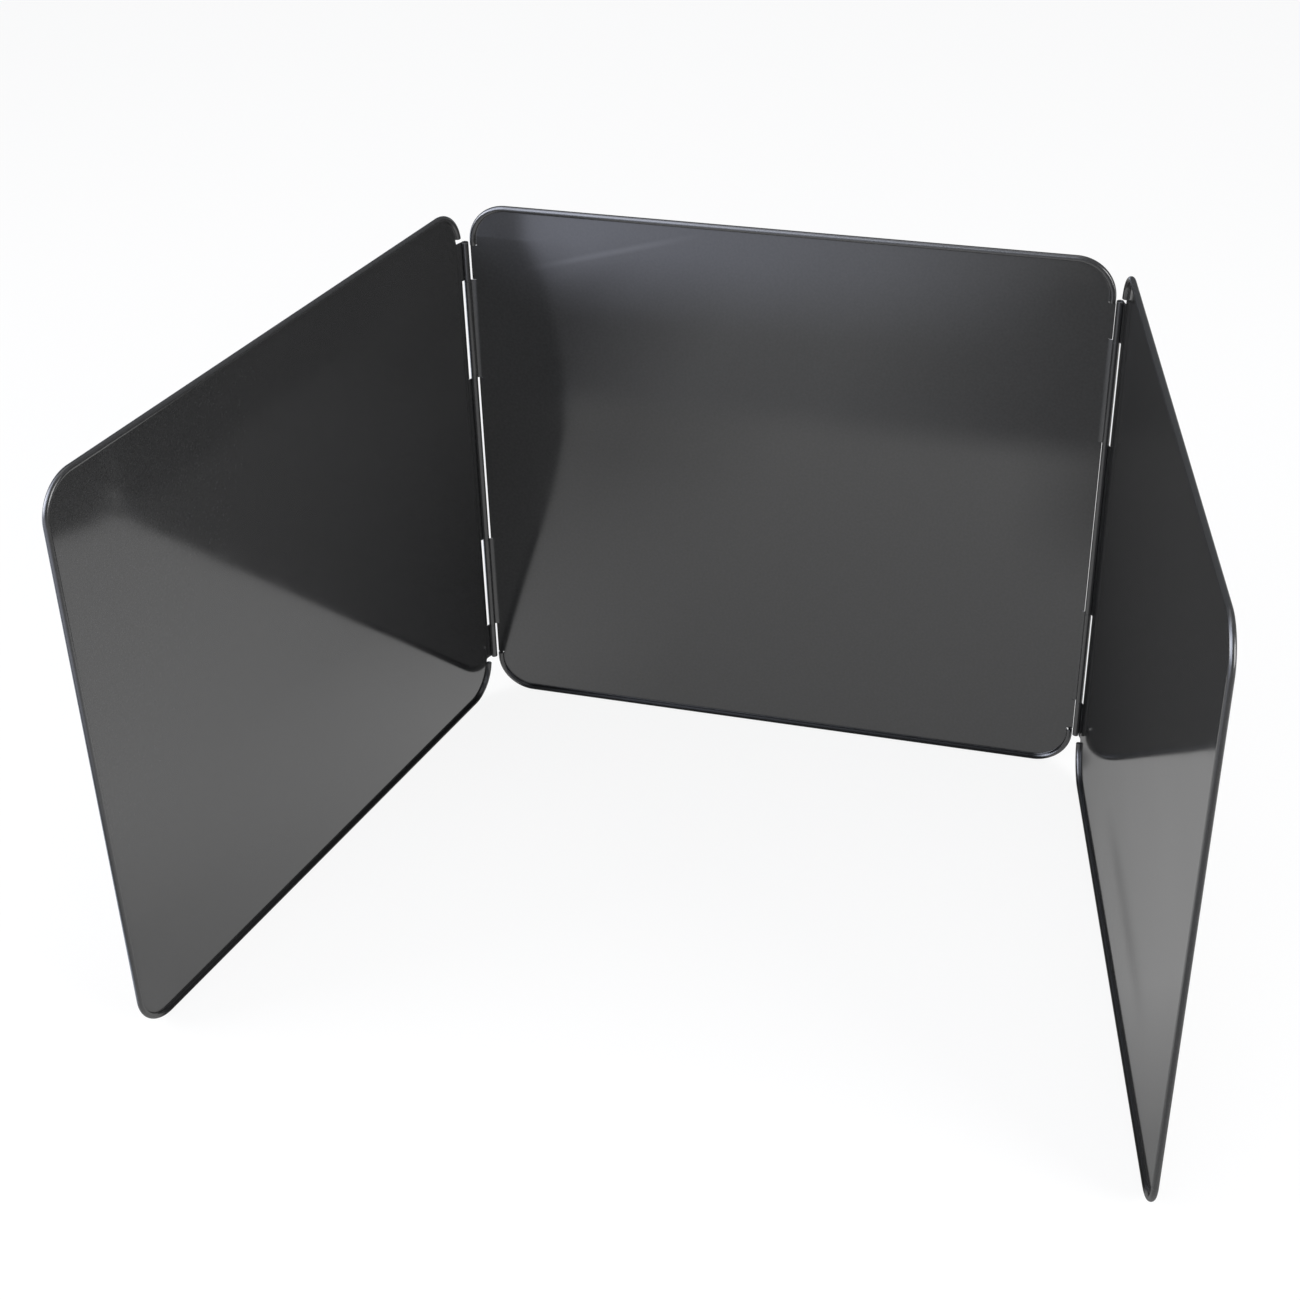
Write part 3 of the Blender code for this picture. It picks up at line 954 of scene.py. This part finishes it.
def mirrored_table(tree, places):
    """The table's tones as the coat mirrors them."""
    across, along, _ = axes(tree, places)
    table = mixed(tree, falling(tree, along, *TABLE_DEPTH), TABLE_BACK, TABLE_FRONT)
    beside = mixed(tree, falling(tree, along, *LEFT_DEPTH), LEFT_BACK, LEFT_FRONT)
    from_touch = measured(tree, "LENGTH", vector(tree, "SUBTRACT", places, TOUCH_PLACE))
    corner = both(tree, falling(tree, along, *CORNER_DEPTH), rising(tree, across, *CORNER_SIDE))
    areas = [
        (falling(tree, across, *LEFT_SIDE), beside),
        (corner, CORNER_SHADE_TONE),
        (falling(tree, across, *OUTSIDE_SIDE), OUTSIDE_TONE),
        (falling(tree, from_touch, *TOUCH_EDGE), TOUCH_TONE),
        (along_line(tree, places, *LINE), LINE_TONE),
    ]
    for area, tone in areas:
        table = mixed(tree, area, table, tone)
    return table


# %% [markdown]
# In front of the table's edge lies the room, darker to the right and at the far left. The window's image
# covers its left half farther out. The strip nearest to the guard's left mouth doesn't see the window, and
# the strip's edge is a slanting line, written as X and Y times two factors plus a distance.

# %% The room in the mirror
TABLE_EDGE = -0.325, -0.295
ROOM_LEFT, ROOM_RIGHT, ROOM_SIDE = (0.85, 0.86, 0.88), (0.40, 0.40, 0.41), (-0.05, 0.10)
FAR_LEFT_TONE, FAR_LEFT_SIDE = (0.30, 0.30, 0.32), (-0.23, -0.13)
WINDOW_TONE, WINDOW_DEPTH, WINDOW_SIDE = (1.95, 2.05, 2.45), (-0.53, -0.42), (-0.26, 0.08)
STRIP_SLANT, STRIP_EDGE, STRIP_SIDE = (0.641, 0.7675, 0.547), (0.0, 0.04), (-0.285, -0.205)


def mirrored_room(tree, places):
    """The room's tones on the ground before the table, as the coat mirrors them."""
    across, along, _ = axes(tree, places)
    room = mixed(tree, rising(tree, across, *ROOM_SIDE), ROOM_LEFT, ROOM_RIGHT)
    room = mixed(tree, falling(tree, across, *FAR_LEFT_SIDE), room, FAR_LEFT_TONE)
    window = both(tree, falling(tree, along, *WINDOW_DEPTH), falling(tree, across, *WINDOW_SIDE))
    by_x, by_y, distance = STRIP_SLANT
    beyond = number(tree, "MULTIPLY_ADD", along, by_y, distance)
    beyond = number(tree, "MULTIPLY_ADD", across, by_x, beyond)
    strip = both(tree, rising(tree, beyond, *STRIP_EDGE), falling(tree, across, *STRIP_SIDE))
    window = both(tree, window, number(tree, "SUBTRACT", 1.0, strip))
    return mixed(tree, window, room, WINDOW_TONE)


# %% [markdown]
# ## The floor
#
# One large pale square. The Light Path node tells its shader who is asking. The camera gets an even glow
# just below white, plus a weak diffuse part that carries the guard's soft shadow. Mirrored rays get the
# picture above. All other light meets plain pale paper. The square lies a hair below the beads, so the two
# surfaces don't fight for the same place.

# %% The floor
FLOOR_HALF = 3.0
FLOOR_DROP = 0.0002
FLOOR_GLOW = 0.875
SHADOW_TONE = grey(0.15)
PAPER_TONE = grey(0.9)


def glow(tree, strength):
    """An emission that shows as its own tone."""
    node = tree.nodes.new("ShaderNodeEmission")
    node.inputs["Strength"].default_value = strength
    return node


def paper(tree, tone):
    """A matt surface of a tone."""
    node = tree.nodes.new("ShaderNodeBsdfDiffuse")
    node.inputs["Color"].default_value = (*tone, 1.0)
    return node.outputs[0]


def mix_of(tree, amount, first, second):
    """A mix of two shaders."""
    node = tree.nodes.new("ShaderNodeMixShader")
    for place, socket in enumerate((amount, first, second)):
        tree.links.new(socket, node.inputs[place])
    return node.outputs[0]


def floor_material():
    """Pale floor that the camera sees as white with a soft shadow."""
    material = bpy.data.materials.new("pale_floor")
    material.use_nodes = True
    tree = material.node_tree
    tree.nodes.clear()
    output = tree.nodes.new("ShaderNodeOutputMaterial")
    paths = tree.nodes.new("ShaderNodeLightPath").outputs
    places = tree.nodes.new("ShaderNodeTexCoord").outputs["Object"]
    front = falling(tree, axes(tree, places)[1], *TABLE_EDGE)
    picture = glow(tree, 1.0)
    ground = mixed(tree, front, mirrored_table(tree, places), mirrored_room(tree, places))
    tree.links.new(ground, picture.inputs["Color"])
    seen = tree.nodes.new("ShaderNodeAddShader")
    tree.links.new(paper(tree, SHADOW_TONE), seen.inputs[0])
    tree.links.new(glow(tree, FLOOR_GLOW).outputs[0], seen.inputs[1])
    other = mix_of(tree, paths["Is Glossy Ray"], paper(tree, PAPER_TONE), picture.outputs[0])
    shown = mix_of(tree, paths["Is Camera Ray"], other, seen.outputs[0])
    tree.links.new(shown, output.inputs["Surface"])
    return material


def floor():
    """One large square under the guard."""
    corners = ((-1, -1), (1, -1), (1, 1), (-1, 1))
    places = [(x * FLOOR_HALF, y * FLOOR_HALF, -FLOOR_DROP) for x, y in corners]
    mesh = bpy.data.meshes.new("floor")
    mesh.from_pydata(places, [], [(0, 1, 2, 3)])
    mesh.materials.append(floor_material())
    obj = bpy.data.objects.new("floor", mesh)
    bpy.context.scene.collection.objects.link(obj)
    print("floor nodes:", len(mesh.materials[0].node_tree.nodes))


floor()

# %% [markdown]
# ## The world
#
# The camera sees plain white behind the guard. Everything else meets a dim room that is lighter above than
# at the sides. The gloss also meets a bright window on the left, in the direction from which the bluish
# highlights on the upper rims come. It is kept to glossy rays, so it adds shine but no light.

# %% The world
ROOM_LOW, ROOM_HIGH, ROOM_RISE = (0.20, 0.21, 0.22), (0.38, 0.39, 0.43), (0.1, 0.9)
SKY_WINDOW = (8.2, 8.7, 10.4)
SKY_ASIDE, SKY_AHEAD, SKY_ABOVE = (-0.32, -0.11), (-0.5, 0.3), (-0.1, 0.2)


def studio_world():
    """White to the camera, a dim room to everything else, with a window for the gloss."""
    world = bpy.data.worlds.new("studio")
    world.use_nodes = True
    bpy.context.scene.world = world
    tree = world.node_tree
    tree.nodes.clear()
    output = tree.nodes.new("ShaderNodeOutputWorld")
    paths = tree.nodes.new("ShaderNodeLightPath").outputs
    x, y, z = axes(tree, tree.nodes.new("ShaderNodeTexCoord").outputs["Generated"])
    room = mixed(tree, rising(tree, z, *ROOM_RISE), ROOM_LOW, ROOM_HIGH)
    window = both(tree, falling(tree, x, *SKY_ASIDE), falling(tree, y, *SKY_AHEAD))
    window = both(tree, window, rising(tree, z, *SKY_ABOVE))
    window = both(tree, window, paths["Is Glossy Ray"])
    around = tree.nodes.new("ShaderNodeBackground")
    tree.links.new(mixed(tree, window, room, SKY_WINDOW), around.inputs["Color"])
    white = tree.nodes.new("ShaderNodeBackground")
    white.inputs["Color"].default_value = (*grey(1.0), 1.0)
    shown = mix_of(tree, paths["Is Camera Ray"], around.outputs[0], white.outputs[0])
    tree.links.new(shown, output.inputs["Surface"])
    print("world nodes:", len(tree.nodes))


studio_world()

# %% [markdown]
# ## The lamps
#
# Four large softboxes light the guard evenly: one overhead, one in front above the camera, and one on
# each side for the faces that look outwards. Each is given by the brightness of its face. A lamp's power
# is that brightness times pi times its area, so a box can change its size without changing its tone.

# %% The lamps
WHITE_LIGHT, COOL_LIGHT = (1.0, 1.0, 1.0), (0.9, 0.95, 1.0)
SOFTBOXES = [
    ("overhead_softbox", (-0.1, 0.1, 1.5), (0.0, -0.1, 0.0), 1.0, 1.0, WHITE_LIGHT),
    ("front_softbox", (-0.34, -1.48, 1.42), (0.0, -0.1, 0.1), 0.9, 2.2, COOL_LIGHT),
    ("right_softbox", (1.2, -0.6, 0.5), (-0.15, -0.2, 0.1), 0.8, 8.0, WHITE_LIGHT),
    ("left_softbox", (-1.2, -0.65, 0.5), (0.15, -0.2, 0.1), 0.8, 6.0, WHITE_LIGHT),
]


def softbox(name, place, target, size, radiance, colour):
    """A square area lamp that faces its target, with the brightness of its face."""
    lamp = bpy.data.lights.new(name, "AREA")
    lamp.shape = "SQUARE"
    lamp.size = size
    lamp.energy = radiance * math.pi * size * size
    lamp.color = colour
    obj = bpy.data.objects.new(name, lamp)
    obj.location = place
    towards = Vector(target) - Vector(place)
    obj.rotation_euler = towards.to_track_quat("-Z", "Y").to_euler()
    obj.visible_camera = False
    bpy.context.scene.collection.objects.link(obj)
    print(name, "power, W:", round(lamp.energy, 2))


for values in SOFTBOXES:
    softbox(*values)

# %% [markdown]
# ## The camera
#
# The photo was taken from the open side, a little to the right and well above the rims. The camera's place,
# turn and focal length were fitted so that the panels' edges fall where they do in the photo. The focal
# length is measured in the photo's pixels. The three directions of the camera make up its matrix.

# %% The camera
PHOTO_PIXELS = 1300
FOCAL_PIXELS = 2204.1
SENSOR = 36.0
CAMERA_PLACE = Vector((0.1840, -0.8447, 0.6060))
CAMERA_YAW, CAMERA_PITCH, CAMERA_ROLL = (math.radians(a) for a in (-16.236, 33.143, 1.457))


def camera():
    """The camera at the photograph's place, from its yaw, pitch and roll."""
    data = bpy.data.cameras.new("photo_camera")
    data.sensor_width = SENSOR
    data.lens = FOCAL_PIXELS / PHOTO_PIXELS * SENSOR
    ahead = Vector((
        math.sin(CAMERA_YAW) * math.cos(CAMERA_PITCH),
        math.cos(CAMERA_YAW) * math.cos(CAMERA_PITCH),
        -math.sin(CAMERA_PITCH),
    ))
    level = Vector((math.cos(CAMERA_YAW), -math.sin(CAMERA_YAW), 0.0))
    down = ahead.cross(level)
    across = math.cos(CAMERA_ROLL) * level + math.sin(CAMERA_ROLL) * down
    below = -math.sin(CAMERA_ROLL) * level + math.cos(CAMERA_ROLL) * down
    turned = Matrix((across, -below, -ahead)).transposed()
    obj = bpy.data.objects.new("photo_camera", data)
    obj.matrix_world = Matrix.Translation(CAMERA_PLACE) @ turned.to_4x4()
    bpy.context.scene.collection.objects.link(obj)
    bpy.context.scene.camera = obj
    print("lens, mm:", round(data.lens, 2))


camera()
bpy.context.scene.view_settings.view_transform = "Standard"
